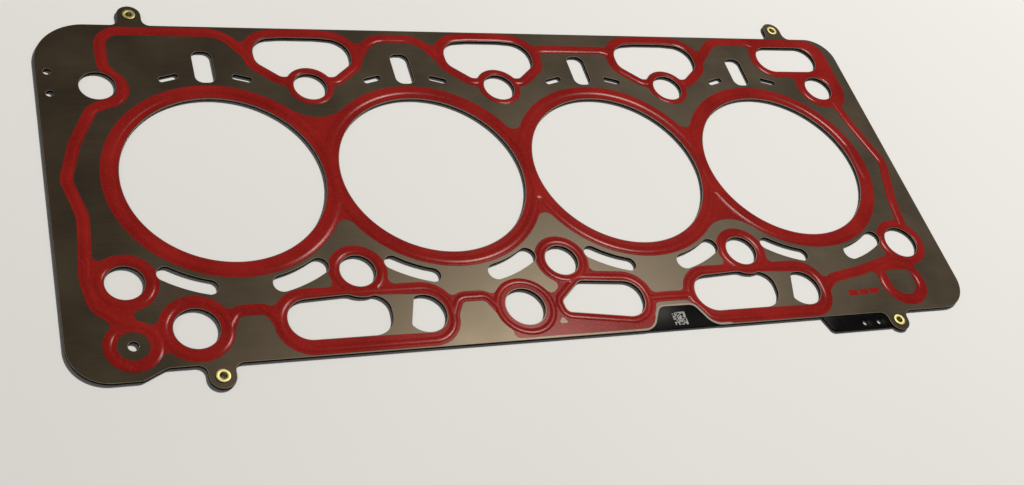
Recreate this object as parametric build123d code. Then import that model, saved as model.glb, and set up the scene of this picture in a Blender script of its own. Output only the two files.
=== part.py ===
from build123d import *
import math
import os

# Cylinder head gasket for a four-cylinder engine: two beaded spring-steel layers riveted over a carrier
# plate, with stopper rings round the bores and elastomer printed over the sealing lines.
# Millimetres. +X runs along the row of bores, +Y to the side with the wide coolant windows, +Z to the head.
# The origin is the centre of the bolt pattern, on the underside of the lower bead layer.

# ---- Driving dimensions -------------------------------------------------------------------------------
BORE_R = 41.9                   # opening round each cylinder
BRIDGE = 7.2                    # steel left between two bores
BOLT_RISE = 7.1                 # each row of bolts beyond the level of the bores' edges
BOLT_HOLE_R = 7.45
DOWEL_HOLE_R = 8.4              # round the right-hand lower bolt, whose dowel sleeve locates the gasket

BEAD_SHEET = 0.25               # thickness of each beaded layer
CARRIER_SHEET = 0.60
STOPPER_SHEET = 0.12
STOPPER_WIDTH = 2.0
PRINT_FILM = 0.04               # elastomer film over the steel
PRINT_SETBACK = 0.35            # bare steel between a punched edge and the film
PRINT_BLEND_R = 2.5             # inner corners of the printed bands

# Sheet outline, measured out from the outer bolts
LEFT_MARGIN = 24.0
RIGHT_MARGIN = 21.3
TOP_MARGIN = 34.9
BOTTOM_MARGIN = 37.5
TOP_LEFT_R = 22.0
TOP_RIGHT_R = 14.0
BOTTOM_RIGHT_R = 15.5
BOTTOM_LEFT_R = 15.7
LOBE_DROP = 4.6                 # how far the lower left lobe hangs below the lower edge
LOBE_WIDTH = 30.5
LOBE_BLEND_R = 5.0

# Riveting ears: (distance along X from the outer bolts, rivet's distance past the upper or lower edge)
UPPER_LEFT_EAR = (17.3, 6.2)
UPPER_RIGHT_EAR = (-10.3, 6.0)
LOWER_LEFT_EAR = (30.2, 5.1)
LOWER_RIGHT_EAR = (-24.0, 4.7)
EAR_R = 5.2
EAR_BLEND_R = 3.5

# Rivets
RIVET_HOLE_R = 2.1
RIVET_FIT = 0.05                # between the rivet's barrel and its hole
RIVET_BORE_R = 1.4
RIVET_FLANGE_R = 2.85
RIVET_FLANGE = 0.45             # how far a rolled flange stands off the outer sheet
RIVET_ROLL = 0.15               # its rounded rim

# Notch in the lower edge of the bead layers, and the carrier's tab with its thickness-mark holes
NOTCH_X = 46.3
NOTCH_MOUTH = 29.2
NOTCH_ROOF = 16.8
NOTCH_DEPTH = 11.0
NOTCH_ROOF_R = 4.0
NOTCH_MOUTH_R = 8.0
NOTCH_BARE = 0.9                # bare steel between the notch and the film
TAB_LEFT = 64.5                 # both ends from the right-hand lower bolt
TAB_RIGHT = 26.0
TAB_DEPTH = 7.8
TAB_CORNER_R = 3.0
MARK_HOLE_R = 1.4
MARK_HOLES = (-42.7, -34.8)     # from the right-hand lower bolt
MARK_HOLE_DROP = 4.4            # below the sheet's lower edge

# Seals
RING_PRINT = 7.4                # width of the film round a bore
BAND = 5.0                      # width of the film along an oil or coolant line
BORE_BEAD = 4.7                 # from a bore's edge to the middle of its bead
BORE_BEAD_WIDTH = 3.2
BORE_BEAD_RISE = 0.25
LINE_BEAD_WIDTH = 2.0
LINE_BEAD_RISE = 0.20
BEAD_SLOPE = 70.0               # a bead's flanks from the upright, in degrees

# ---- Stations -----------------------------------------------------------------------------------------
PITCH = 2 * BORE_R + BRIDGE     # from bore to bore, and from bolt column to bolt column
BOLT_ROW = BORE_R + BOLT_RISE
LAST = 2                        # outermost bolt column on each side of the middle one
INNER = (-1, 0, 1)              # bolt columns between bores
END = LAST * PITCH
BORES = [(step - 1.5) * PITCH for step in range(4)]
BOLTS = [(column * PITCH, row * BOLT_ROW) for row in (1, -1) for column in range(-LAST, LAST + 1)]
DOWEL = (END, -BOLT_ROW)
LEFT_EDGE = -END - LEFT_MARGIN
RIGHT_EDGE = END + RIGHT_MARGIN
TOP_EDGE = BOLT_ROW + TOP_MARGIN
BOTTOM_EDGE = -BOLT_ROW - BOTTOM_MARGIN

CARRIER_LEVEL = BEAD_SHEET
STOPPER_LEVEL = CARRIER_LEVEL + CARRIER_SHEET
UPPER_LEVEL = STOPPER_LEVEL + STOPPER_SHEET
TOP_LEVEL = UPPER_LEVEL + BEAD_SHEET


# ---- Flat shapes --------------------------------------------------------------------------------------
def disc(x, y, radius):
    return Pos(x, y) * Circle(radius)


def rounded(corners, x=0, y=0):
    """A closed shape from (x, y, radius) corners, taken anticlockwise, moved to a station."""
    line = FilletPolyline(*[(a, b) for a, b, _ in corners], radius=[r for _, _, r in corners], close=True)
    return Pos(x, y) * make_face(line)


def mirrored(corners):
    """The corners of a left-right symmetrical shape, from those of its right half."""
    return corners + [(-x, y, r) for x, y, r in reversed(corners)]


def grown(shape, distance):
    return offset(shape, distance, kind=Kind.ARC)


def blended(shape, radius, x, y, reach):
    """The shape with its corners near a point rounded off."""
    corners = [v for v in shape.vertices() if math.hypot(v.X - x, v.Y - y) < reach]
    return fillet(corners, radius)


def arc_slot(x, y, radius, start, sweep, width):
    """A round-ended slot along an arc about (x, y), between two angles in degrees."""
    return Pos(x, y) * SlotArc(CenterArc((0, 0), radius, start, sweep), width)


# ---- Openings through every layer ---------------------------------------------------------------------
# Wide coolant windows over the inner upper bolts: corners from the bolt's centre
WINDOW_CORNERS = [(12.2, 5.7, 3.2), (22.2, 14.2, 6.0), (22.8, 27.7, 9.5), (8.0, 29.2, 30.0)]
WINDOW_SADDLE_R = 11.0          # the window's lower edge keeps this far from the bolt's centre
WINDOW_CUSP_R = 1.5

# Corner window, from the right-hand upper bolt
CORNER_WINDOW = (35.6, 17.0, 8.3)
CORNER_WINDOW_AT = (-10.8, 20.2)

# Slots above each bore
CROWN_SLOT = (8.8, 18.0, 3.5)
CROWN_SLOT_RISE = 11.0          # above the bolts' row
JET_SLOT = (8.6, 2.9, 1.1)
JET_SLOT_OUT = 13.9             # from the bore's edge
JET_SLOT_ANGLE = 16.5           # either side of the bore's upright

# Curved coolant slots below each bore
KIDNEY_OUT = 12.9               # from the bore's edge
KIDNEY_START = 15.0             # centre of the slot's inner end, either side of the bore's upright
KIDNEY_SWEEP = 18.4
KIDNEY_WIDTHS = (6.6, 7.8)      # left and right of the bore

# Long oil windows under the outer inner bolts: corners from the bolt's centre
GALLEY_CORNERS = [
    (-32.6, -30.2, 9.0), (9.2, -30.2, 9.0), (10.2, -12.4, 7.0), (-8.0, -11.0, 4.0), (-32.6, -12.4, 9.0)]
GALLEY_SCALLOP_R = 12.6
# Middle oil window: corners from the middle lower bolt
SUMP_CORNERS = [
    (-5.4, -25.6, 2.5), (32.2, -31.3, 8.4), (32.2, -13.0, 7.8), (4.8, -10.8, 4.0), (-6.2, -20.2, 3.0)]
# Round oil ports, and D-shaped ones cut off along a slanting side, all this far from their bolts
PORT_AT = (23.7, -21.8)
PORT_R = 8.7
PORT_FLAT = 5.5                 # from the port's centre to the slanting side
PORT_FLAT_TILT = 17.0
PORT_FLAT_CORNER_R = 1.8
# Small holes
VENT_AT = (0.0, -27.5)          # from the left-hand lower bolt
VENT_R = 2.0
PIN_HOLES = ((-19.3, 7.6), (-19.1, -4.3))   # from the left-hand upper bolt
PIN_HOLE_R = 1.6


def window(column):
    """A coolant window, with its lower edge waisted round the bolt hole."""
    x = column * PITCH
    shape = rounded(mirrored(WINDOW_CORNERS)) - disc(0, 0, WINDOW_SADDLE_R)
    shape = blended(shape, WINDOW_CUSP_R, 0, 0, WINDOW_SADDLE_R + 0.1)
    return Pos(x, BOLT_ROW) * shape


def corner_window():
    width, height, radius = CORNER_WINDOW
    dx, dy = CORNER_WINDOW_AT
    return Pos(END + dx, BOLT_ROW + dy) * RectangleRounded(width, height, radius)


def crown_slot(bore):
    return Pos(bore, BOLT_ROW + CROWN_SLOT_RISE) * RectangleRounded(*CROWN_SLOT)


def jet_slots(bore):
    return [
        Pos(bore, 0) * Rot(0, 0, tilt) * Pos(0, BORE_R + JET_SLOT_OUT) * RectangleRounded(*JET_SLOT)
        for tilt in (-JET_SLOT_ANGLE, JET_SLOT_ANGLE)]


def kidneys(bore):
    left, right = KIDNEY_WIDTHS
    radius = BORE_R + KIDNEY_OUT
    return [
        arc_slot(bore, 0, radius, 270 - KIDNEY_START - KIDNEY_SWEEP, KIDNEY_SWEEP, left),
        arc_slot(bore, 0, radius, 270 + KIDNEY_START, KIDNEY_SWEEP, right)]


def galley(column):
    """A long oil window, scalloped round the bolt above it."""
    shape = rounded(GALLEY_CORNERS) - disc(0, 0, GALLEY_SCALLOP_R)
    return Pos(column * PITCH, -BOLT_ROW) * shape


def sump_window():
    return rounded(SUMP_CORNERS, 0, -BOLT_ROW)


def d_port(column):
    side = Rot(0, 0, -PORT_FLAT_TILT) * Pos(-PORT_FLAT - PORT_R, 0) * Rectangle(2 * PORT_R, 4 * PORT_R)
    shape = Circle(PORT_R) - side
    shape = fillet(shape.vertices(), PORT_FLAT_CORNER_R)
    return Pos(column * PITCH + PORT_AT[0], -BOLT_ROW + PORT_AT[1]) * shape


ROUND_PORTS = ((-END + PORT_AT[0], -BOLT_ROW + PORT_AT[1]), (-PORT_AT[0], -BOLT_ROW + PORT_AT[1]))
EARS = (
    (-END + UPPER_LEFT_EAR[0], TOP_EDGE + UPPER_LEFT_EAR[1]),
    (END + UPPER_RIGHT_EAR[0], TOP_EDGE + UPPER_RIGHT_EAR[1]),
    (-END + LOWER_LEFT_EAR[0], BOTTOM_EDGE - LOWER_LEFT_EAR[1]),
    (END + LOWER_RIGHT_EAR[0], BOTTOM_EDGE - LOWER_RIGHT_EAR[1]))


def bolt_holes():
    plain = [disc(x, y, BOLT_HOLE_R) for x, y in BOLTS if (x, y) != DOWEL]
    return plain + [disc(*DOWEL, DOWEL_HOLE_R)]


def fluid_openings():
    """Everything that oil or coolant passes through, and the small holes."""
    shapes = [window(column) for column in INNER] + [corner_window(), sump_window()]
    shapes += [galley(column) for column in (-1, 1)] + [d_port(column) for column in (-1, 1)]
    shapes += [disc(x, y, PORT_R) for x, y in ROUND_PORTS]
    for bore in BORES:
        shapes += [crown_slot(bore)] + jet_slots(bore) + kidneys(bore)
    shapes.append(disc(-END + VENT_AT[0], -BOLT_ROW + VENT_AT[1], VENT_R))
    shapes += [disc(-END + x, BOLT_ROW + y, PIN_HOLE_R) for x, y in PIN_HOLES]
    return shapes


def openings():
    return [disc(x, 0, BORE_R) for x in BORES] + bolt_holes() + fluid_openings()


def rivet_holes():
    return [disc(x, y, RIVET_HOLE_R) for x, y in EARS]


# ---- Sheet outline ------------------------------------------------------------------------------------
def outline():
    """The outer edge that all three sheets share: rounded corners, the lower left lobe and four ears."""
    lobe = BOTTOM_EDGE - LOBE_DROP
    sheet = rounded([
        (LEFT_EDGE, lobe, BOTTOM_LEFT_R),
        (LEFT_EDGE + LOBE_WIDTH - LOBE_DROP, lobe, LOBE_BLEND_R),
        (LEFT_EDGE + LOBE_WIDTH + LOBE_DROP, BOTTOM_EDGE, LOBE_BLEND_R),
        (RIGHT_EDGE, BOTTOM_EDGE, BOTTOM_RIGHT_R),
        (RIGHT_EDGE, TOP_EDGE, TOP_RIGHT_R),
        (LEFT_EDGE, TOP_EDGE, TOP_LEFT_R)])
    for x, y in EARS:
        edge = TOP_EDGE if y > 0 else BOTTOM_EDGE
        sheet += [disc(x, y, EAR_R), Pos(x, (y + edge) / 2) * Rectangle(2 * EAR_R, abs(y - edge))]
        for side in (-EAR_R, EAR_R):
            sheet = blended(sheet, EAR_BLEND_R, x + side, edge, 0.01)
    return sheet


def notch():
    """The recess in the bead layers' lower edge that leaves the carrier in view, with a flared mouth."""
    roof, mouth = NOTCH_ROOF / 2, NOTCH_MOUTH / 2
    flare = mouth + NOTCH_MOUTH_R
    return rounded(mirrored([
        (flare, -NOTCH_DEPTH, 0.0), (flare, 0.0, 0.0), (mouth, 0.0, NOTCH_MOUTH_R),
        (roof, NOTCH_DEPTH, NOTCH_ROOF_R)]), NOTCH_X, BOTTOM_EDGE)


def tab():
    """The carrier's tab that stands out past the lower edge, so that its holes can be read in place."""
    left, right = END - TAB_LEFT, END - TAB_RIGHT
    low = BOTTOM_EDGE - TAB_DEPTH
    return rounded([
        (left, BOTTOM_EDGE, 0.0), (left + TAB_CORNER_R, low, TAB_CORNER_R), (right, low, TAB_CORNER_R),
        (right, BOTTOM_EDGE + TAB_DEPTH, 0.0), (left, BOTTOM_EDGE + TAB_DEPTH, 0.0)])


# ---- Sealing lines ------------------------------------------------------------------------------------
# Each line between openings runs through the (x, y, radius) corners of its middle. Its ends lie inside the
# film of the openings that it joins.
LEFT_LINE = [
    (-END + 68, BOLT_ROW + 15, 0), (-END + 56, BOLT_ROW + 31.3, 14), (-END + 3, BOLT_ROW + 31.3, 9),
    (-END + 3.2, BOLT_ROW + 10, 9), (-END + 11.9, BOLT_ROW, 9), (-END + 8, BOLT_ROW - 8, 6),
    (-END - 3.5, BOLT_ROW - 12.5, 8), (-END - 12, 18, 20), (-END - 16.8, 0, 8), (-END - 12, -18, 20),
    (-END - 14, -BOLT_ROW + 2, 20), (-END - 11.5, -BOLT_ROW - 10, 7), (-END - 1, -BOLT_ROW - 19.5, 0)]
UPPER_RIGHT_LINE = [
    (END - 68, BOLT_ROW + 15, 0), (END - 53, BOLT_ROW + 31.8, 12), (END - 32, BOLT_ROW + 31.8, 9),
    (END - 23, BOLT_ROW + 27.5, 0)]
RIGHT_LINE = [
    (END + 5, BOLT_ROW - 8, 0), (END + 8, 25, 25), (END + 15, 0, 8), (END + 8, -25, 25),
    (END + 6, -BOLT_ROW + 8, 0)]
ARCH = [(-22, 14, 0), (-12, 29.8, 14), (12, 29.8, 14), (22, 14, 0)]     # from a bore, over the bolts' row
BRIDGE_LINE = [(-26, 20, 0), (-17, 24.4, 9), (17, 24.4, 9), (26, 20, 0)]
LOW_ARCH = [(-11, -24, 0), (-6.2, -15.2, 5), (6.2, -15.2, 5), (11, -24, 0)]     # under the bolts' row
LOW_BRIDGE_LINE = [(-14, -21.6, 0), (0, -21.4, 40), (14, -21.6, 0)]
ARM = [(-12.5, -25, 0), (-4.0, -17.6, 12), (13.5, -14.6, 30), (38.4, -8.2, 0)]
SKIRT = [(-30, -34.0, 0), (0, -34.05, 200), (33, -34.0, 0)]             # under the sump window
# Film that fills the corner outside the corner window: corners from the right-hand upper bolt
CORNER_FILM = [
    (-26, 20, 1.0), (0, 0, 1.0), (4, -10, 1.0), (11.2, -11.5, 3.0), (15.4, -2, 9.0), (15.4, 34.3, 11.0),
    (-36, 34.3, 2.5)]
GALLEY_LOOP = [(-38.3, -37, 14.5), (37.5, -37, 13.5), (37.5, -7, 13.5), (-38.3, -7, 14.5)]
GALLEY_FLOOR = ((-1.0, -30.5), (4.0, -11.7))    # bare steel from here to the D port: corners from the bolt
CORNER_PRINT = 4.2
UPPER_BOLT_PRINT = 10.4
LOWER_BOLT_PRINT = 12.3
END_BOLT_PRINT = 12.8
PORT_PRINTS = (14.4, 13.8)
# Film rings with no port inside: the left-hand one round the vent, the right-hand one D-shaped inside
VENT_RING = (10.9, 6.0)
BLANK_RING_AT = (-11.0, -22.0)              # from the right-hand lower bolt
BLANK_RING_R = 12.7
BLANK_RING_INSIDE = [(-6.9, -7.0, 6.8), (6.9, -7.0, 6.8), (6.9, 6.6, 1.6), (-6.9, 6.6, 1.6)]
PRINT_GAP = [(-11.4, -31.0, 0.8), (-6.6, -31.0, 0.8), (-8.8, -27.6, 0.8)]    # from the middle lower bolt
WEB_GAP = 17.6                  # between a filled web's edge and the nearest bolt
WEB_BLEND_R = 4.0
FILLED_WEBS = ((-1, 1), (1, -1))            # (column, row) of the webs filled out to their bolts

# Distance of each bead's middle from its opening, or its radius
WINDOW_BEAD = 2.1
PORT_BEAD = 3.5
LOOP_BEAD = 2.6                 # inwards from the outer edge of a loop or ring of film
NOTCH_BEAD = 2.4
BOLT_BEAD = 2.35
DOWEL_BEAD = 1.55               # the bead stays clear of the curved slot beside it
VENT_BEAD_R = 9.2


def line(corners, width, x=0, y=0):
    """A strip of one width with round ends, through (x, y, radius) corners from a station."""
    points = [(a, b) for a, b, _ in corners]
    middle = FilletPolyline(*points, radius=[r for _, _, r in corners[1:-1]])
    return Pos(x, y) * make_face(offset(middle, width / 2))


def seal_lines(width):
    low = -BOLT_ROW
    return [
        line(LEFT_LINE, width), line(UPPER_RIGHT_LINE, width), line(RIGHT_LINE, width),
        line(ARCH, width, BORES[1], BOLT_ROW), line(BRIDGE_LINE, width, BORES[2], BOLT_ROW),
        line(LOW_ARCH, width, BORES[0], low), line(LOW_ARCH, width, BORES[1], low),
        line(LOW_BRIDGE_LINE, width, BORES[2], low), line(ARM, width, BORES[3], low)]


def loops():
    return [rounded(GALLEY_LOOP, column * PITCH, -BOLT_ROW) for column in (-1, 1)]


def clear_of_notch(shape, distance):
    """The shape cut back to a distance from the notch, with the corners that this leaves rounded."""
    shape = shape - grown(notch(), distance)
    return grown(grown(shape, -NOTCH_ROOF_R), NOTCH_ROOF_R)


def vent_ring(radius):
    return disc(-END + VENT_AT[0], -BOLT_ROW + VENT_AT[1], radius)


def blank_ring(radius):
    return disc(END + BLANK_RING_AT[0], -BOLT_ROW + BLANK_RING_AT[1], radius)


def blend_in(shapes, radius):
    """One region of many shapes, each drawn wider by the radius, with its inner corners rounded."""
    return grown(Sketch() + shapes, -radius)


def galley_floor():
    """The stretch of bare steel that runs from a galley across to its D port."""
    low, high = GALLEY_FLOOR
    port_x, port_y = PORT_AT
    reach = PORT_R + PRINT_SETBACK
    return make_face(Polyline(low, (port_x, port_y - reach), (port_x, port_y + reach), high, close=True))


def fluid_film():
    """Everything that the oil and coolant seals' film covers, before its openings are taken out."""
    extra = PRINT_BLEND_R
    shapes = [grown(window(column), BAND + extra) for column in INNER]
    shapes += [grown(corner_window(), CORNER_PRINT + extra), grown(sump_window(), BAND + extra)]
    shapes += [grown(clear_of_notch(loop, NOTCH_BARE + PRINT_SETBACK), extra) for loop in loops()]
    shapes.append(grown(rounded(CORNER_FILM, END, BOLT_ROW), extra))
    shapes.append(line(SKIRT, BAND + 2 * extra, 0, -BOLT_ROW))
    for column in INNER:
        shapes.append(disc(column * PITCH, BOLT_ROW, UPPER_BOLT_PRINT + extra))
        shapes.append(disc(column * PITCH, -BOLT_ROW, LOWER_BOLT_PRINT + extra))
    for x, y in ((END, BOLT_ROW), (END, -BOLT_ROW), (-END, -BOLT_ROW)):
        shapes.append(disc(x, y, END_BOLT_PRINT + extra))
    shapes += [disc(x, y, radius + extra) for (x, y), radius in zip(ROUND_PORTS, PORT_PRINTS)]
    shapes += [vent_ring(VENT_RING[0] + extra), blank_ring(BLANK_RING_R + extra)]
    return blend_in(shapes + seal_lines(BAND + 2 * extra), extra)


def fluid_print():
    """Film of the oil and coolant seals: one network of bands round the openings and between them."""
    bare = [Pos(column * PITCH, -BOLT_ROW) * galley_floor() for column in (-1, 1)]
    bare += [vent_ring(VENT_RING[1]), rounded(PRINT_GAP, 0, -BOLT_ROW), grown(notch(), NOTCH_BARE)]
    bare.append(rounded(BLANK_RING_INSIDE, END + BLANK_RING_AT[0], -BOLT_ROW + BLANK_RING_AT[1]))
    return fluid_film() - bare - [grown(shape, PRINT_SETBACK) for shape in fluid_openings() + bolt_holes()]


def ring_print():
    """Film round the bores, with the webs that fill the corners between neighbours."""
    shapes = [disc(x, 0, BORE_R + RING_PRINT + WEB_BLEND_R) for x in BORES]
    film = blend_in(shapes, WEB_BLEND_R)
    for column, row in FILLED_WEBS:
        x, y = column * PITCH, row * BOLT_ROW
        corner = make_face(Polyline((x - PITCH / 2, 0), (x + PITCH / 2, 0), (x, y), close=True))
        film += corner - disc(x, y, WEB_GAP)
    return film - [disc(x, 0, BORE_R + PRINT_SETBACK) for x in BORES]


# ---- Beads --------------------------------------------------------------------------------------------
def bore_beads():
    """Beads round the bores. Two neighbours run together into one bead over the bridge between them."""
    middle, half = BORE_R + BORE_BEAD, BORE_BEAD_WIDTH / 2
    reach = Rectangle(PITCH - BORE_BEAD_WIDTH, 2 * middle)
    inside = [Pos(x, 0) * (Circle(middle - half) & reach) for x in BORES]
    return Sketch() + [disc(x, 0, middle + half) for x in BORES] - inside


def bead_cells(distance):
    """The areas inside the beads of the fluid seals, grown by a distance from the beads' middles."""
    cells = [grown(window(column), WINDOW_BEAD + distance) for column in INNER]
    cells += [grown(corner_window(), WINDOW_BEAD + distance), grown(sump_window(), WINDOW_BEAD + distance)]
    for loop in loops():
        cells.append(grown(clear_of_notch(grown(loop, -LOOP_BEAD), NOTCH_BEAD), distance))
    for column in INNER:
        cells.append(disc(column * PITCH, BOLT_ROW, WINDOW_SADDLE_R - WINDOW_BEAD + distance))
        cells.append(disc(column * PITCH, -BOLT_ROW, BOLT_HOLE_R + BOLT_BEAD + distance))
    for x, y in ((END, BOLT_ROW), (-END, -BOLT_ROW)):
        cells.append(disc(x, y, BOLT_HOLE_R + BOLT_BEAD + distance))
    cells.append(disc(*DOWEL, DOWEL_HOLE_R + DOWEL_BEAD + distance))
    cells += [disc(x, y, PORT_R + PORT_BEAD + distance) for x, y in ROUND_PORTS]
    cells += [vent_ring(VENT_BEAD_R + distance), blank_ring(BLANK_RING_R - LOOP_BEAD + distance)]
    return cells


def line_beads():
    """Beads round the openings of the fluid seals and along the lines between them."""
    half = LINE_BEAD_WIDTH / 2
    return Sketch() + (bead_cells(half) + seal_lines(LINE_BEAD_WIDTH)) - bead_cells(-half)


# ---- Solids -------------------------------------------------------------------------------------------
# The two bead layers are one pressing used both ways up, so each outer piece is made once, lying on the
# plane z = 0 with its beads up, and then raised to the top of the stack or turned over at the bottom.
def on_top(solid):
    return Pos(0, 0, UPPER_LEVEL) * solid


def underneath(solid):
    return Pos(0, 0, BEAD_SHEET) * mirror(solid, about=Plane.XY)


def bead_layer():
    """A steel sheet with the combustion beads pressed up out of it, so that it stays one thickness."""
    sheet = extrude(outline() - notch() - openings() - rivet_holes(), BEAD_SHEET)
    ridge = extrude(bore_beads(), BORE_BEAD_RISE, taper=BEAD_SLOPE)
    return sheet + Pos(0, 0, BEAD_SHEET) * ridge - ridge


def combustion_print():
    """The film round the bores, which follows the beads."""
    film = Pos(0, 0, BEAD_SHEET) * extrude(ring_print(), PRINT_FILM)
    ridge = Pos(0, 0, BEAD_SHEET) * extrude(bore_beads(), BORE_BEAD_RISE, taper=BEAD_SLOPE)
    return film + Pos(0, 0, PRINT_FILM) * ridge - ridge


def fluid_seal_print():
    """The film of the fluid seals, with beads moulded on it."""
    film = Pos(0, 0, BEAD_SHEET) * extrude(fluid_print(), PRINT_FILM)
    return film + Pos(0, 0, BEAD_SHEET + PRINT_FILM) * extrude(line_beads(), LINE_BEAD_RISE)


def carrier():
    """The plain plate that carries the stopper rings and stands out as a tab with the mark holes."""
    marks = [disc(END + dx, BOTTOM_EDGE - MARK_HOLE_DROP, MARK_HOLE_R) for dx in MARK_HOLES]
    plate = outline() + tab() - openings() - rivet_holes() - marks
    return Pos(0, 0, CARRIER_LEVEL) * extrude(plate, CARRIER_SHEET)


def stopper_ring(bore):
    ring = disc(bore, 0, BORE_R + STOPPER_WIDTH) - disc(bore, 0, BORE_R)
    return Pos(0, 0, STOPPER_LEVEL) * extrude(ring, STOPPER_SHEET)


def rivet(x, y):
    """A hollow rivet whose two ends are rolled out over the bead layers."""
    barrel = RIVET_HOLE_R - RIVET_FIT
    low, high = -RIVET_FLANGE, TOP_LEVEL + RIVET_FLANGE
    section = make_face(Polyline(
        (barrel, 0), (RIVET_FLANGE_R, 0), (RIVET_FLANGE_R, low + RIVET_ROLL),
        (RIVET_FLANGE_R - RIVET_ROLL, low), (RIVET_BORE_R + RIVET_ROLL, low),
        (RIVET_BORE_R, low + RIVET_ROLL), (RIVET_BORE_R, high - RIVET_ROLL),
        (RIVET_BORE_R + RIVET_ROLL, high), (RIVET_FLANGE_R - RIVET_ROLL, high),
        (RIVET_FLANGE_R, high - RIVET_ROLL), (RIVET_FLANGE_R, TOP_LEVEL), (barrel, TOP_LEVEL), close=True))
    return Pos(x, y) * revolve(Plane.XZ * section, Axis.Z)


# ---- Parts --------------------------------------------------------------------------------------------
def write(name, solid):
    solid.label = name
    export_step(solid, f"parts/{name}.step")


os.makedirs("parts", exist_ok=True)

layer = bead_layer()
write("upper_bead_layer", on_top(layer))
write("lower_bead_layer", underneath(layer))

ring_seal = combustion_print()
write("upper_combustion_seal_print", on_top(ring_seal))
write("lower_combustion_seal_print", underneath(ring_seal))

fluid_seal = fluid_seal_print()
write("upper_fluid_seal_print", on_top(fluid_seal))
write("lower_fluid_seal_print", underneath(fluid_seal))

write("carrier_plate", carrier())
for number, bore in enumerate(BORES, 1):
    write(f"stopper_ring_{number}", stopper_ring(bore))
for number, (x, y) in enumerate(EARS, 1):
    write(f"rivet_{number}", rivet(x, y))
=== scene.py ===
import math
import random

import bmesh
import bpy
from mathutils import Matrix, Vector
from mathutils.geometry import delaunay_2d_cdt, intersect_point_line
from mathutils.kdtree import KDTree


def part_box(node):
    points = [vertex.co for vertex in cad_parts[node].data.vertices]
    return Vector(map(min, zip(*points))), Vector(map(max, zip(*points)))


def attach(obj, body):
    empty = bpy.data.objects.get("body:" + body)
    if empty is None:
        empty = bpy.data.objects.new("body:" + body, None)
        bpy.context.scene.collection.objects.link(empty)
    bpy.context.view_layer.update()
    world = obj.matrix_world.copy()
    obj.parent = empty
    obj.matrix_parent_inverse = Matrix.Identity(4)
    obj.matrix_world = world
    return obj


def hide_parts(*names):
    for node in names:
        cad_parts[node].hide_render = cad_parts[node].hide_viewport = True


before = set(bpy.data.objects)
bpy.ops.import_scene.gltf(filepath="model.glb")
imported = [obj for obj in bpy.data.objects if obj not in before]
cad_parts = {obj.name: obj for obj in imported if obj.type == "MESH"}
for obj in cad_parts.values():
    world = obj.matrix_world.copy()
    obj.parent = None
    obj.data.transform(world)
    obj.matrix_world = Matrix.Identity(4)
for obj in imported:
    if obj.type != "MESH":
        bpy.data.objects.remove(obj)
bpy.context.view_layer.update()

# The cylinder head gasket's looks. Each sheet, print and rivet is built again from the outline of its CAD
# node, finer than the node: rounded beads, rolled edges, smooth curves.
# Lengths here are in millimetres, as in the CAD source, and turn into metres when a mesh is made.
MM = 0.001
HAIR = 0.002                    # heights nearer than this are the same

# ---- Levels, read from the frame ----------------------------------------------------------------------


def low(node):
    """The height of a node's lowest point."""
    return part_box(node)[0].z / MM


def high(node):
    """The height of a node's highest point."""
    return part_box(node)[1].z / MM


LAYER_LOW = low("upper_bead_layer")
CARRIER_LOW, CARRIER_HIGH = low("carrier_plate"), high("carrier_plate")
BORE_BEAD_RISE = 0.25           # of the bead round a bore over the flat sheet, as in the CAD source
LAYER_HIGH = high("upper_bead_layer") - BORE_BEAD_RISE
FILM_HIGH = high("upper_combustion_seal_print") - BORE_BEAD_RISE
LINE_BEAD_RISE = high("upper_fluid_seal_print") - FILM_HIGH
STACK = LAYER_HIGH              # height of the stack of sheets, which is the same either way up

# ---- Mesh ---------------------------------------------------------------------------------------------
SAME_POINT = 1e-7               # points of a CAD mesh nearer than this are one, in metres
SAME_PLACE = 1e-5               # points of a filled outline nearer than this are one
UPWARDS = 0.99                  # least z of the normal of a face that looks up
STEP = 0.8                      # spacing of points along an edge or a bead
SPACING = 0.45 * STEP           # no two points beside a bead are nearer than this
NEARLY = 0.97                   # share of its distance that a shifted point keeps, or else it is left out
CORNER = math.radians(40)       # a sharper turn in a CAD outline is a corner
STRAIGHT = 3.0                  # a side this many times its neighbour is straight
SHARP = math.radians(40)        # faces that meet at more than this meet in a real edge
BEAD_FADE = 0.5                 # a bead dies out over this distance from the edge of its film
FADE_HOLLOW = 0.5               # share of that distance that is hollow
HOLLOW = 0.08                   # share of a bead's side that is the hollow at its foot
SKIRT_ROW = 0.4                 # where one row of points lies on a bead's skirt, as a share of it
EDGE_GAP = 0.15                 # no point beside a bead is nearer than this to an edge
STRIP_STEP = 0.1                # between the two rows of points that end a strip


def made(name, points, faces, materials, indices=None, normals=None):
    """A smooth piece from points in millimetres, sharp where its faces meet at a real edge. normals are those
    of its points that are known exactly, by number."""
    used = sorted({i for face in faces for i in face})
    order = {old: new for new, old in enumerate(used)}
    mesh = bpy.data.meshes.new(name)
    places = [Vector(points[i]) * MM for i in used]
    mesh.from_pydata(places, [], [[order[i] for i in face] for face in faces])
    for material in materials:
        mesh.materials.append(material)
    if indices:
        mesh.polygons.foreach_set("material_index", indices)
    mesh.shade_smooth()
    mesh.set_sharp_from_angle(angle=SHARP)
    if normals:
        # A corner with the normal (0, 0, 0) keeps the one that Blender gives it.
        mesh.normals_split_custom_set(
            [normals.get(used[corner.vertex_index], (0, 0, 0)) for corner in mesh.loops])
    piece = bpy.data.objects.new(name, mesh)
    bpy.context.collection.objects.link(piece)
    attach(piece, "root")
    return piece


def chained(steps):
    """Closed loops of (x, y) from a table of each point's next one."""
    loops = []
    while steps:
        start, point = steps.popitem()
        loop = [start]
        while point is not start:
            loop.append(point)
            point = steps.pop(point)
        loops.append([vert.co.xy / MM for vert in loop])
    return loops


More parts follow.
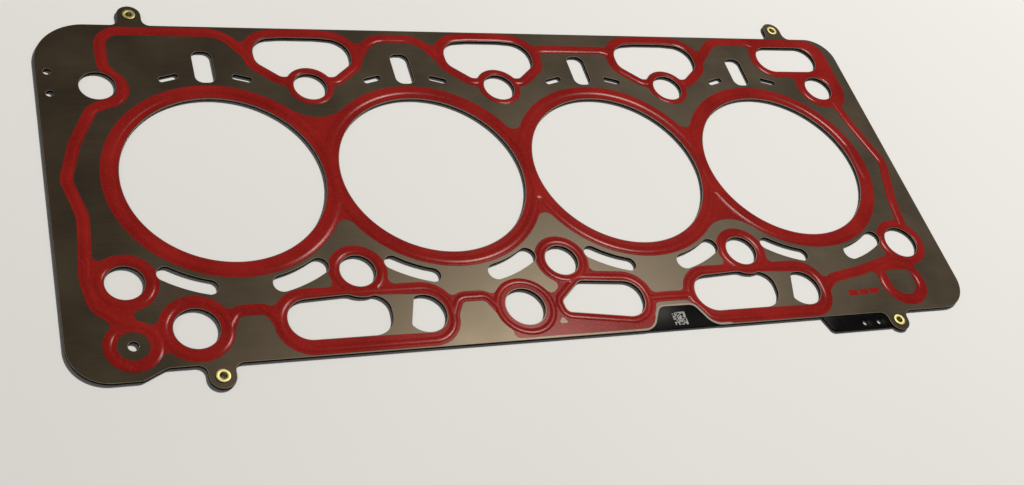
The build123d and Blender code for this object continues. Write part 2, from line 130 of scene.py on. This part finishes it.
def borders(node, level):
    """The loops round the upward faces of a node at one height: the edges of the sheet, and the feet of its
    beads. Both kinds have the flat face on their left."""
    bm = bmesh.new()
    bm.from_mesh(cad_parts[node].data)
    bmesh.ops.remove_doubles(bm, verts=bm.verts, dist=SAME_POINT)
    bm.normal_update()
    flat = {
        face for face in bm.faces
        if face.normal.z > UPWARDS and all(abs(vert.co.z / MM - level) < HAIR for vert in face.verts)}
    edges, feet = {}, {}
    for face in bm.faces:
        if face not in flat:
            continue
        for corner in face.loops:
            beyond = [other for other in corner.edge.link_faces if other not in flat]
            if beyond:
                rises = max(vert.co.z for vert in beyond[0].verts) / MM > level + HAIR
                (feet if rises else edges)[corner.vert] = corner.link_loop_next.vert
    loops = chained(edges), chained(feet)
    bm.free()
    return loops


def heading(a, b, c):
    """The way that a curve through three of its points runs at the middle one, or None at a corner."""
    before, after = b - a, c - b
    if before.angle(after) > CORNER:
        return None
    if before.length > STRAIGHT * after.length:
        return before.normalized()
    if after.length > STRAIGHT * before.length:
        return after.normalized()
    return (before.normalized() * after.length + after.normalized() * before.length).normalized()


def refined(loop, step):
    """The loop with a point at about each step, on the curves that the CAD mesh cuts into chords."""
    count = len(loop)
    ways = [heading(loop[i - 1], loop[i], loop[(i + 1) % count]) for i in range(count)]
    points = []
    for i, start in enumerate(loop):
        end, way_on = loop[(i + 1) % count], ways[(i + 1) % count]
        chord = end - start
        leave = chord if ways[i] is None else ways[i] * chord.length
        reach = chord if way_on is None else way_on * chord.length
        parts = max(1, round(chord.length / step))
        for part in range(parts):
            t = part / parts
            ease = t * t * (3 - 2 * t)
            points.append(start + chord * ease + leave * t * (1 - t) ** 2 - reach * t * t * (1 - t))
    return points


def lefts(loop):
    """The direction to the left of the loop's way round, at each of its points."""
    ways = [(loop[(i + 1) % len(loop)] - loop[i - 1]).normalized() for i in range(len(loop))]
    return [Vector((-way.y, way.x)) for way in ways]


def shifted(loop, distance):
    """The loop moved to the left of its way round."""
    return [point + distance * left for point, left in zip(loop, lefts(loop))]


class Ruler:
    """Distances from a set of loops."""

    def __init__(self, loops):
        self.sides = [
            (loop[i - 1], loop[i], loop[(i + 1) % len(loop)]) for loop in loops for i in range(len(loop))]
        self.tree = KDTree(len(self.sides))
        for i, (_, point, _) in enumerate(self.sides):
            self.tree.insert((*point, 0), i)
        self.tree.balance()

    def nearest(self, point):
        """The shortest step from the loops to a point, and the direction to the left of the loop there."""
        found = []
        for _, i, _ in self.tree.find_n((*point, 0), 2):
            before, here, after = self.sides[i]
            for start, end in ((before, here), (here, after)):
                foot, share = intersect_point_line(point, start, end)
                foot = start if share < 0 else end if share > 1 else foot.xy
                way = (end - start).normalized()
                found.append((point - foot, Vector((-way.y, way.x))))
        return min(found, key=lambda pair: pair[0].length)

    def distance(self, point):
        """The distance from the loops to a point."""
        return self.nearest(point)[0].length


def bead_points(feet, ruler, offsets):
    """Points over the beads and beside them, at fixed distances inwards (above 0) or outwards from their
    feet, no closer together than they need be."""
    points = []
    for offset in offsets:
        ring = [p for loop in feet for p in shifted(loop, -offset)]
        tree = KDTree(len(ring))
        for i, point in enumerate(ring):
            tree.insert((*point, 0), i)
        tree.balance()
        taken = set()
        for i, point in enumerate(ring):
            step, left = ruler.nearest(point)
            if step.length < NEARLY * abs(offset) or (step.dot(left) < 0) != (offset > 0):
                continue
            if not any(j in taken for _, j, _ in tree.find_range((*point, 0), SPACING)):
                taken.add(i)
                points.append(point)
    return points


def inner(faces, outer):
    """The faces inside the outer sides. A step over one of those sides goes in or out."""
    touching = {}
    for number, face in enumerate(faces):
        for i, a in enumerate(face):
            touching.setdefault(frozenset((a, face[(i + 1) % len(face)])), []).append(number)
    inside = {}
    for side, numbers in touching.items():
        if len(numbers) == 1 and numbers[0] not in inside:
            inside[numbers[0]] = side in outer
            queue = [numbers[0]]
            while queue:
                number = queue.pop()
                face = faces[number]
                for i, a in enumerate(face):
                    edge = frozenset((a, face[(i + 1) % len(face)]))
                    for other in touching[edge]:
                        if other not in inside:
                            inside[other] = inside[number] != (edge in outer)
                            queue.append(other)
    return [face for number, face in enumerate(faces) if inside.get(number)]


def filled(edges, feet=(), loose=()):
    """Fills the inside of the edge loops with triangles that keep to the feet and use the loose points. Gives
    the points, the triangles, which given points each point stands for, and where each given point went."""
    points, sides = [], []
    for loop in list(edges) + list(feet):
        first, count = len(points), len(loop)
        points += loop
        sides += [(first + i, first + (i + 1) % count) for i in range(count)]
    rim = sum(len(loop) for loop in edges)
    points += loose
    verts, _, faces, sources, _, _ = delaunay_2d_cdt(points, sides, [], 0, SAME_PLACE)
    place = {source: i for i, group in enumerate(sources) for source in group}
    outer = {frozenset((place[a], place[b])) for a, b in sides[:rim]}
    kept = []
    for face in inner(faces, outer):
        a, b, c = (verts[i] for i in face)
        turn = (b - a).cross(c - a)
        kept.append(tuple(face) if turn > 0 else tuple(reversed(face)))
    return verts, kept, sources, place


FLAT = (0.0, Vector((0, 0)))    # no height and no slope


class Bead:
    """A rounded ridge. It rises from a skirt outside its CAD feet to a crest half its width inside them, and
    dies out at the edge of the sheet. shares says where its rows of points lie inside the feet."""

    def __init__(self, rise, half, skirt, shares, edges, feet):
        self.rise, self.half, self.skirt, self.feet = rise, half, skirt, feet
        self.foot_ruler, self.edge_ruler = Ruler(feet), Ruler(edges)
        offsets = [-skirt, HOLLOW * (half + skirt) - skirt, -SKIRT_ROW * skirt]
        offsets += [half * share for share in shares]
        marks = bead_points(feet, self.foot_ruler, offsets)
        self.points = [point for point in marks if self.edge_ruler.distance(point) > EDGE_GAP]

    def lift(self, point):
        """The bead's height at a point, and its slope there."""
        step, left = self.foot_ruler.nearest(point)
        inside = step.dot(left) < 0
        span = self.half + self.skirt
        profile, steepness = domed(((step.length if inside else -step.length) + self.skirt) / span)
        edge_step, _ = self.edge_ruler.nearest(point)
        fade, fading = domed(edge_step.length / BEAD_FADE, FADE_HOLLOW)
        uphill = -left if step.length < HAIR else (step if inside else -step).normalized()
        slope = uphill * (steepness * fade / span) + edge_step.normalized() * (profile * fading / BEAD_FADE)
        return self.rise * profile * fade, self.rise * slope

    def lifts(self, sources, verts, rim_count):
        """Height and slope of each point of filled(). The first rim_count sources lie on the sheet's edge and
        stay flat, as does a point with no source."""
        return [
            self.lift(vert) if group and min(group) >= rim_count else FLAT
            for vert, group in zip(verts, sources)]


def domed(share, hollow=HOLLOW):
    """A rise from 0 to 1 over a hollow and then a round, and its steepness: level at both ends."""
    share = min(1.0, max(0.0, share))
    if share < hollow:
        return share * share / hollow, 2 * share / hollow
    left = 1 - share
    return 1 - left * left / (1 - hollow), 2 * left / (1 - hollow)


def numbered(first, loops):
    """The loops as the numbers of their points, which follow one another from the first."""
    rings = []
    for loop in loops:
        rings.append(list(range(first, first + len(loop))))
        first += len(loop)
    return rings


def strip_along(lines, width, runs_here):
    """The points that end a strip beside the lines, and a test of whether a place is on it. runs_here tells
    where it may run."""
    border = Ruler(lines)
    ends = []
    for gap in (width, width + STRIP_STEP):
        ring = [p for loop in lines for p in shifted(loop, gap)]
        ends += [p for p in ring if runs_here(p) and border.distance(p) > NEARLY * gap]
    return ends, lambda place: runs_here(place) and border.distance(place) < width


def plate(edges, low_level, high_level, rim=((0.0, 0.0),), bead=None, pressed=False, strip=None):
    """A closed sheet inside the edge loops: its points, its faces, their material numbers, and the normals
    that are known exactly. rim is the rounding of its upper edges, as (distance in, distance down) from the
    flat face outwards. A pressed sheet has its bead in the lower face too. strip is (its width, a test of
    where it may run). Faces on the rim and the strip have the second material."""
    lines = [shifted(loop, rim[0][0]) for loop in edges]
    feet = bead.feet if bead else []
    loose = list(bead.points) if bead else []
    if strip:
        ends, on_strip = strip_along(lines, *strip)
        loose += ends
    verts, faces, sources, place = filled(lines, feet, loose)
    rim_count = sum(len(loop) for loop in edges)
    lifts = bead.lifts(sources, verts, rim_count) if bead else [FLAT] * len(verts)
    points = [(*vert, high_level + height) for vert, (height, _) in zip(verts, lifts)]
    # A rounded rim starts level with the flat face. Other edges keep the normals of their two faces.
    edge_verts = set() if len(rim) > 1 else {place[i] for i in range(rim_count)}
    normals = {i: (-slope.x, -slope.y, 1.0) for i, (_, slope) in enumerate(lifts) if i not in edge_verts}
    indices = [0] * len(faces)
    if strip:
        middles = [sum((verts[i] for i in face), Vector((0, 0))) / 3 for face in faces]
        indices = [int(on_strip(middle)) for middle in middles]
    # The rounded rim and then the walls, from the flat face down. The walls take the first material, which on
    # the steel sheets is the dark coat as painted shade, since their punched walls are bare steel.
    upper = [[place[i] for i in ring] for ring in numbered(0, lines)]
    rim_rows = [(1, inset, drop) for inset, drop in rim[1:]]
    for index, inset, drop in rim_rows + [(0, 0.0, high_level - low_level)]:
        lower = numbered(len(points), edges)
        points += [(*p, high_level - drop) for loop in edges for p in shifted(loop, inset)]
        for a, b in zip(upper, lower):
            count = len(a)
            faces += [(a[i], b[i], b[(i + 1) % count], a[(i + 1) % count]) for i in range(count)]
            indices += [index] * count
        upper = lower
    # The lower face, on the feet of the walls
    if bead and pressed:
        verts, caps, sources, _ = filled(edges, feet, bead.points)
        lifts = bead.lifts(sources, verts, rim_count)
    else:
        verts, caps, sources, _ = filled(edges)
        lifts = [FLAT] * len(verts)
    wall = [i for ring in lower for i in ring]
    order = []
    for vert, group, (height, slope) in zip(verts, sources, lifts):
        if group and min(group) < rim_count:
            order.append(wall[min(group)])
        else:
            order.append(len(points))
            normals[len(points)] = (slope.x, slope.y, -1.0)
            points.append((*vert, low_level + height))
    faces += [tuple(order[i] for i in reversed(face)) for face in caps]
    indices += [0] * len(caps)
    return points, faces, indices, {i: Vector(normal).normalized() for i, normal in normals.items()}


def turned(points, faces, normals):
    """The same sheet for the underside of the stack."""
    points = [(x, y, STACK - z) for x, y, z in points]
    normals = {i: Vector((x, y, -z)) for i, (x, y, z) in normals.items()}
    return points, [tuple(reversed(face)) for face in faces], normals


# ---- Materials ----------------------------------------------------------------------------------------
class Nodes:
    """Shorthand for a material's nodes. Textures lie in object space, so their scales are per metre."""

    def __init__(self, name, rough, metal=0.0, specular=0.5):
        self.material = bpy.data.materials.new(name)
        self.material.use_nodes = True
        self.tree = self.material.node_tree
        self.surface = self.tree.nodes["Principled BSDF"]
        self.surface.inputs["Roughness"].default_value = rough
        self.surface.inputs["Metallic"].default_value = metal
        self.surface.inputs["Specular IOR Level"].default_value = specular
        self.place = self.tree.nodes.new("ShaderNodeTexCoord").outputs["Object"]

    def node(self, kind, **settings):
        """A new node with its own settings."""
        node = self.tree.nodes.new(kind)
        for key, value in settings.items():
            setattr(node, key, value)
        return node

    def put(self, socket, value):
        """Links a socket to another node's output, or sets it to a number or a colour."""
        if isinstance(value, bpy.types.NodeSocket):
            self.tree.links.new(value, socket)
        else:
            socket.default_value = value

    def stretched(self, scale):
        """The place on the object, scaled differently along x, y and z."""
        node = self.node("ShaderNodeMapping")
        self.put(node.inputs["Vector"], self.place)
        node.inputs["Scale"].default_value = scale
        return node.outputs["Vector"]

    def noise(self, scale, detail=3.0, rough=0.55, vector=None):
        """Noise from 0 to 1."""
        node = self.node("ShaderNodeTexNoise")
        self.put(node.inputs["Vector"], vector or self.place)
        node.inputs["Scale"].default_value = scale
        node.inputs["Detail"].default_value = detail
        node.inputs["Roughness"].default_value = rough
        return node.outputs["Fac"]

    def spread(self, value, low, high, to_low=0.0, to_high=1.0):
        """The part of a value between low and high, spread out from to_low to to_high."""
        node = self.node("ShaderNodeMapRange")
        names = ("Value", "From Min", "From Max", "To Min", "To Max")
        for name, number in zip(names, (value, low, high, to_low, to_high)):
            self.put(node.inputs[name], number)
        return node.outputs["Result"]

    def blend(self, share, a, b):
        """A colour from a to b, as share goes from 0 to 1."""
        node = self.node("ShaderNodeMix", data_type="RGBA")
        self.put(node.inputs["Factor"], share)
        self.put(node.inputs["A"], a)
        self.put(node.inputs["B"], b)
        return node.outputs["Result"]

    def bump(self, height, strength, distance):
        """Makes the surface uneven, by a distance in metres."""
        node = self.node("ShaderNodeBump")
        node.inputs["Strength"].default_value = strength
        node.inputs["Distance"].default_value = distance
        self.put(node.inputs["Height"], height)
        self.put(self.surface.inputs["Normal"], node.outputs["Normal"])


def rgba(red, green, blue):
    """An opaque colour."""
    return (red, green, blue, 1.0)


def coated_steel():
    """Thin dark rubber coat over spring steel: cloudy, with a fine grain and faint marks of rolling. It also
    covers the punched walls of the sheets, as painted shade over their bare steel.
    """
    m = Nodes("coated_steel", 0.3, specular=0.19)
    m.surface.inputs["Specular Tint"].default_value = rgba(1.0, 0.78, 0.50)
    clouds = m.noise(28, 4)
    rolling = m.noise(1, 2, vector=m.stretched((40, 1400, 1)))
    grain = m.noise(5200, 2)
    tone = m.blend(m.spread(clouds, 0.35, 0.68), rgba(0.021, 0.0153, 0.0095), rgba(0.037, 0.0268, 0.0165))
    tone = m.blend(m.spread(rolling, 0.4, 0.75, 0.0, 0.10), tone, rgba(0.095, 0.075, 0.050))
    tone = m.blend(m.spread(grain, 0.55, 0.8, 0.0, 0.3), tone, rgba(0.12, 0.094, 0.066))
    m.put(m.surface.inputs["Base Color"], tone)
    m.put(m.surface.inputs["Roughness"], m.spread(clouds, 0.3, 0.7, 0.27, 0.34))
    m.bump(m.noise(2600, 3), 0.35, 0.00003)
    return m.material


def bare_steel():
    """Punched and rolled-over edges, and steel left bare by the prints."""
    m = Nodes("bare_steel", 0.5, metal=0.3, specular=0.2)
    grain = m.noise(1, 2, vector=m.stretched((500, 500, 5000)))
    tone = m.blend(m.spread(grain, 0.3, 0.7), rgba(0.11, 0.090, 0.068), rgba(0.20, 0.168, 0.130))
    m.put(m.surface.inputs["Base Color"], tone)
    m.put(m.surface.inputs["Roughness"], m.spread(grain, 0.3, 0.7, 0.45, 0.6))
    m.bump(grain, 0.3, 0.00002)
    return m.material


def seal_rubber():
    """Satin red elastomer print, with the slight unevenness of a screened and cured coat."""
    m = Nodes("seal_rubber", 0.2, specular=0.03)
    m.surface.inputs["Specular Tint"].default_value = rgba(1.0, 0.74, 0.70)
    clouds = m.noise(35, 3)
    skin = m.noise(900, 3)
    tone = m.blend(m.spread(clouds, 0.35, 0.68), rgba(0.185, 0.0085, 0.0070), rgba(0.255, 0.0135, 0.0105))
    tone = m.blend(m.spread(skin, 0.5, 0.8, 0.0, 0.35), tone, rgba(0.30, 0.035, 0.028))
    m.put(m.surface.inputs["Base Color"], tone)
    m.put(m.surface.inputs["Roughness"], m.spread(skin, 0.3, 0.7, 0.155, 0.195))
    m.bump(skin, 0.12, 0.00008)
    return m.material


def carrier_coat():
    """Near-black coat of the carrier, worn a little lighter in fine specks."""
    m = Nodes("carrier_coat", 0.3, specular=0.009)
    clouds = m.noise(60, 3)
    specks = m.noise(3800, 2)
    tone = m.blend(m.spread(clouds, 0.35, 0.65), rgba(0.0030, 0.0028, 0.0028), rgba(0.0060, 0.0056, 0.0053))
    tone = m.blend(m.spread(specks, 0.62, 0.8, 0.0, 0.5), tone, rgba(0.05, 0.048, 0.045))
    m.put(m.surface.inputs["Base Color"], tone)
    m.put(m.surface.inputs["Roughness"], m.spread(clouds, 0.3, 0.7, 0.26, 0.34))
    m.bump(m.noise(2000, 3), 0.3, 0.00003)
    return m.material


def stainless():
    """Bright rolled steel of the stopper rings."""
    m = Nodes("stainless", 0.3, metal=1.0)
    grain = m.noise(1, 2, vector=m.stretched((300, 300, 6000)))
    m.put(m.surface.inputs["Base Color"], m.blend(grain, rgba(0.35, 0.35, 0.35), rgba(0.60, 0.60, 0.60)))
    m.put(m.surface.inputs["Roughness"], m.spread(grain, 0.3, 0.7, 0.22, 0.4))
    return m.material


def brass():
    """Yellow brass of the rivets, dulled in places."""
    m = Nodes("brass", 0.45, metal=0.8)
    clouds = m.noise(700, 3)
    tone = m.blend(m.spread(clouds, 0.35, 0.7), rgba(0.27, 0.23, 0.075), rgba(0.42, 0.37, 0.16))
    m.put(m.surface.inputs["Base Color"], tone)
    m.put(m.surface.inputs["Roughness"], m.spread(clouds, 0.3, 0.7, 0.38, 0.52))
    m.bump(m.noise(3000, 2), 0.3, 0.00003)
    return m.material


def marking():
    """Matte grey of a laser mark."""
    m = Nodes("marking", 0.7, specular=0.3)
    grain = m.noise(6000, 2)
    tone = m.blend(m.spread(grain, 0.3, 0.7), rgba(0.24, 0.23, 0.21), rgba(0.42, 0.41, 0.38))
    m.put(m.surface.inputs["Base Color"], tone)
    return m.material


def stage_paper():
    """Matte off-white paper of the floor."""
    m = Nodes("stage_paper", 0.9, specular=0.1)
    tone = m.blend(m.spread(m.noise(3, 2), 0.3, 0.7), rgba(0.74, 0.73, 0.71), rgba(0.77, 0.76, 0.74))
    m.put(m.surface.inputs["Base Color"], tone)
    return m.material


COAT_AND_WALL_SHADE, BARE, RED, BLACK = coated_steel(), bare_steel(), seal_rubber(), carrier_coat()
STAINLESS, BRASS, MARK = stainless(), brass(), marking()

# ---- Bead layers, carrier and prints ------------------------------------------------------------------
STEEL_RIM = ((0.16, 0.0), (0.05, 0.03), (0.0, 0.11))        # the rolled-over edge that punching leaves
# Each bead's rise, half width inside the CAD feet, skirt outside them, and where its rows of points lie. The
# steel's beads are all under film, so one shape does for both kinds.
STEEL_BEAD = (BORE_BEAD_RISE, 1.6, 0.5, (0.25, 0.5, 0.97))
BORE_BEAD = (BORE_BEAD_RISE, 1.6, 0.5, (0.2, 0.4, 0.6, 0.8, 0.98))
LINE_BEAD = (LINE_BEAD_RISE, 1.0, 0.6, (0.25, 0.5, 0.75, 0.98))
NOTCH_X, NOTCH_REACH = 46.3, 24.0
NOTCH_LOW, NOTCH_HIGH = -86.45, -70.0
NOTCH_STRIP = 0.75              # bare steel along the notch
CARRIER_STEP = 1.5              # spacing of points along the carrier's edges


def along_notch(point):
    """Whether a point is in the box round the notch."""
    return abs(point.x - NOTCH_X) < NOTCH_REACH and NOTCH_LOW < point.y < NOTCH_HIGH


def both_sides(name, node, sheet, materials):
    """The piece for a node on top of the stack, and its twin for the node underneath."""
    points, faces, indices, normals = sheet
    piece = made("upper_" + name, points, faces, materials, indices, normals)
    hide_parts("upper_" + node)
    points, faces, normals = turned(points, faces, normals)
    twin = made("lower_" + name, points, faces, materials, indices, normals)
    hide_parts("lower_" + node)


def loops_of(node, level, step=STEP):
    """The edges of a node's sheet and the feet of its beads, as fine curves."""
    edges, feet = borders(node, level)
    return [refined(loop, step) for loop in edges], [refined(loop, step) for loop in feet]


edges, feet = loops_of("upper_bead_layer", LAYER_HIGH)
sheet = plate(
    edges, LAYER_LOW, LAYER_HIGH, STEEL_RIM, Bead(*STEEL_BEAD, edges, feet), pressed=True,
    strip=(NOTCH_STRIP, along_notch))
# The coat goes on the sheets' walls too: painted shade, as those punched walls are bare steel.
both_sides("layer", "bead_layer", sheet, [COAT_AND_WALL_SHADE, BARE])

edges, feet = loops_of("upper_combustion_seal_print", FILM_HIGH)
sheet = plate(edges, LAYER_HIGH, FILM_HIGH, bead=Bead(*BORE_BEAD, edges, feet), pressed=True)
both_sides("combustion_seal", "combustion_seal_print", sheet, [RED])

edges, feet = loops_of("upper_fluid_seal_print", FILM_HIGH)
sheet = plate(edges, LAYER_HIGH, FILM_HIGH, bead=Bead(*LINE_BEAD, edges, feet))
both_sides("fluid_seal", "fluid_seal_print", sheet, [RED])

edges, _ = loops_of("carrier_plate", CARRIER_HIGH, CARRIER_STEP)
points, faces, _, _ = plate(edges, CARRIER_LOW, CARRIER_HIGH, STEEL_RIM)
carrier = made("carrier", points, faces, [BLACK])
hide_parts("carrier_plate")

for number in range(1, 5):
    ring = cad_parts[f"stopper_ring_{number}"].data
    ring.materials.clear()
    ring.materials.append(STAINLESS)

# ---- Rivets -------------------------------------------------------------------------------------------
RIVET_TURNS = 64
RIVET_BORE, RIVET_BARREL = 1.25, 2.05           # radii
# A flange's outline: in from its rim and up from the sheet, in from its rim and down from the top, and out
# from the bore and down from the top
FLANGE_FOOT = ((0.12, 0.0), (0.02, 0.06), (0.0, 0.16))
FLANGE_BACK = ((0.04, 0.10), (0.14, 0.03), (0.32, 0.0))
FLANGE_MOUTH = ((0.48, 0.0), (0.30, 0.03), (0.13, 0.13), (0.03, 0.30), (0.0, 0.50))


def rivet(number):
    """A hollow rivet with both ends rolled out into rounded flanges."""
    node = f"rivet_{number}"
    lowest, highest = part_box(node)
    x, y = (lowest.xy + highest.xy) / 2 / MM
    out, top = (highest.x - lowest.x) / 2 / MM, highest.z / MM
    upper = [(RIVET_BARREL, LAYER_HIGH)]
    upper += [(out - inset, LAYER_HIGH + up) for inset, up in FLANGE_FOOT]
    upper += [(out - inset, top - down) for inset, down in FLANGE_BACK]
    upper += [(RIVET_BORE + outset, top - down) for outset, down in FLANGE_MOUTH]
    profile = upper + [(r, STACK - z) for r, z in reversed(upper)]
    points, faces = [], []
    for turn in range(RIVET_TURNS):
        angle = 2 * math.pi * turn / RIVET_TURNS
        points += [(x + r * math.cos(angle), y + r * math.sin(angle), z) for r, z in profile]
    count = len(profile)
    for turn in range(RIVET_TURNS):
        here, there = turn * count, (turn + 1) % RIVET_TURNS * count
        for i in range(count):
            j = (i + 1) % count
            faces.append((here + i, there + i, there + j, here + j))
    piece = made(f"rolled_rivet_{number}", points, faces, [BRASS])
    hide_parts(node)


for number in range(1, 5):
    rivet(number)

# ---- Small printed and marked details -----------------------------------------------------------------
PADS = [(140.5, -75.2, 2.6, 1.5), (146.6, -75.0, 2.6, 1.5), (152.6, -74.6, 2.6, 1.5)]      # x, y, half sizes
PATCH_AT, PATCH_CELLS, CELL = (45.8, -81.6), 12, 0.53
CELL_HALF = 0.26                # a hair under half a cell, so that no two marks touch
MARKED = 0.55                   # share of the cells that are marked
MARK_HEIGHT = 0.01
CHAMFER, CHAMFER_SHARE = 0.2, 0.25      # a block's chamfer, or this share of its mean half size if less


def block(points, faces, x, y, half_x, half_y, bottom, top):
    """Adds a low block with chamfered upper edges."""
    first, slope = len(points), min(CHAMFER, CHAMFER_SHARE * (half_x + half_y) / 2)
    for z, inset in ((bottom, 0.0), (top, slope)):
        for sx, sy in ((-1, -1), (1, -1), (1, 1), (-1, 1)):
            points.append((x + sx * (half_x - inset), y + sy * (half_y - inset), z))
    faces.append((first + 3, first + 2, first + 1, first))
    faces.append((first + 4, first + 5, first + 6, first + 7))
    for i in range(4):
        j = (i + 1) % 4
        faces.append((first + i, first + j, first + 4 + j, first + 4 + i))


points, faces = [], []
for x, y, half_x, half_y in PADS:
    block(points, faces, x, y, half_x, half_y, LAYER_HIGH, FILM_HIGH)
tops = {i: (0, 0, 1) for i, point in enumerate(points) if point[2] == FILM_HIGH}
made("print_pads", points, faces, [RED], normals=tops)

# Stands for a laser mark: its cells are random, and read as nothing.
random.seed(11)
points, faces = [], []
for row in range(PATCH_CELLS):
    for column in range(PATCH_CELLS):
        if random.random() < MARKED:
            x = PATCH_AT[0] + (column - (PATCH_CELLS - 1) / 2) * CELL
            y = PATCH_AT[1] + (row - (PATCH_CELLS - 1) / 2) * CELL
            block(points, faces, x, y, CELL_HALF, CELL_HALF, CARRIER_HIGH, CARRIER_HIGH + MARK_HEIGHT)
made("marked_patch", points, faces, [MARK])

# ---- Camera -------------------------------------------------------------------------------------------
CAMERA_AT = (-0.2525, -0.321245, 0.414426)
CAMERA_TURN = Vector((0.622479, -0.369812, -0.158191))      # its turn from looking straight down, in radians
CAMERA_LENS, CAMERA_SENSOR = 45.743, 36
CAMERA_SHIFT = (0.0527, -0.0257)            # the photograph is cropped a little off its middle
CAMERA_NEAR = 0.01              # in metres

data = bpy.data.cameras.new("camera")
data.lens = CAMERA_LENS
data.sensor_width = CAMERA_SENSOR
data.shift_x, data.shift_y = CAMERA_SHIFT
data.clip_start = CAMERA_NEAR
camera = bpy.data.objects.new("camera", data)
bpy.context.collection.objects.link(camera)
camera.matrix_world = Matrix.Translation(CAMERA_AT) @ Matrix.Rotation(CAMERA_TURN.length, 4, CAMERA_TURN)
bpy.context.scene.camera = camera
bpy.context.scene.view_settings.view_transform = "Standard"

# ---- Floor and light ----------------------------------------------------------------------------------
FLOOR_HALF = 3.0                # in metres, as the lamps' places are
SKY, SKY_STRENGTH = rgba(1, 0.985, 0.96), 0.13
floor_level = min(low(node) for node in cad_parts) * MM
corners = [(x * FLOOR_HALF, y * FLOOR_HALF) for x, y in ((-1, -1), (1, -1), (1, 1), (-1, 1))]
mesh = bpy.data.meshes.new("floor")
mesh.from_pydata([(x, y, floor_level) for x, y in corners], [], [(0, 1, 2, 3)])
mesh.materials.append(stage_paper())
floor = bpy.data.objects.new("floor", mesh)
bpy.context.collection.objects.link(floor)

world = bpy.data.worlds.new("world")
bpy.context.scene.world = world
world.use_nodes = True
sky = world.node_tree.nodes["Background"]
sky.inputs["Color"].default_value = SKY
sky.inputs["Strength"].default_value = SKY_STRENGTH


def lamp(name, place, size, power, color):
    """A square soft lamp that shines at the middle of the object."""
    light = bpy.data.lights.new(name, "AREA")
    light.size = size
    light.energy = power
    light.color = color
    lamp_object = bpy.data.objects.new(name, light)
    bpy.context.collection.objects.link(lamp_object)
    lamp_object.location = place
    lamp_object.rotation_euler = (-Vector(place)).to_track_quat("-Z", "Y").to_euler()


lamp("key", place=(1.18, 0.98, 2.36), size=0.34, power=82, color=(1.0, 0.975, 0.94))
lamp("fill", place=(-2.4, -1.2, 2.8), size=2.4, power=4.8, color=(0.96, 0.98, 1.0))
